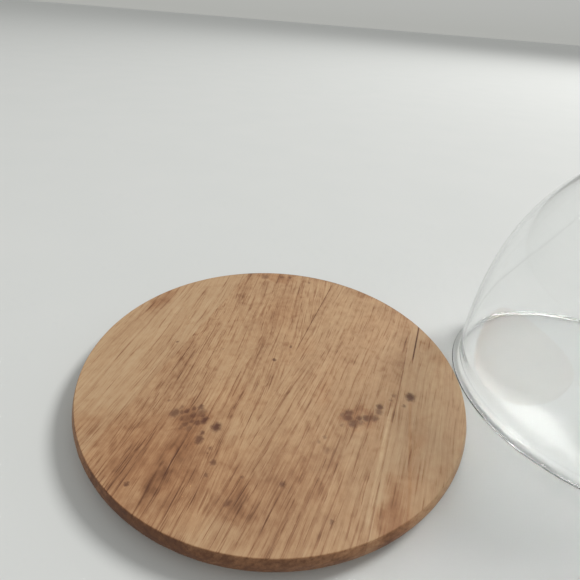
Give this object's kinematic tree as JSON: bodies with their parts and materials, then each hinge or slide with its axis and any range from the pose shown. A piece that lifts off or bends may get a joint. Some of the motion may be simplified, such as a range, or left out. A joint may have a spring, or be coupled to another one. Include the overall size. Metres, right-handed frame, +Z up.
{
  "type": "cheese dome",
  "caption": "Round edge-glued oak board with a clear glass bell, standing beside it, that lifts straight up by its knob.",
  "frame": {"origin": "centre of the board's flat underside, at the height of the table", "axes": "+Z up, +X from the board's centre towards the bell's centre, +Y away from the viewer"},
  "size_m": [0.4638, 0.2536, 0.2089],
  "materials": {
    "oak_1": "bare oak, pale, worn satin",
    "oak_2": "bare oak, mid brown, worn satin",
    "oak_3": "bare oak, mid brown, worn satin",
    "oak_4": "bare oak, reddish brown, worn satin",
    "bell_glass": "clear polished glass",
    "knob_glass": "clear polished glass"
  },
  "bodies": {
    "board": {"board_stave_1": "oak_1", "board_stave_2": "oak_2", "board_stave_3": "oak_3", "board_stave_4": "oak_4"},
    "dome": {"glass_bell": "bell_glass", "glass_knob": "knob_glass"}
  },
  "joints": [
    {"name": "dome_lift", "type": "slide", "parent": "board", "child": "dome", "axis": [0, 0, 1], "range_m": [0, 0.25]}
  ]
}
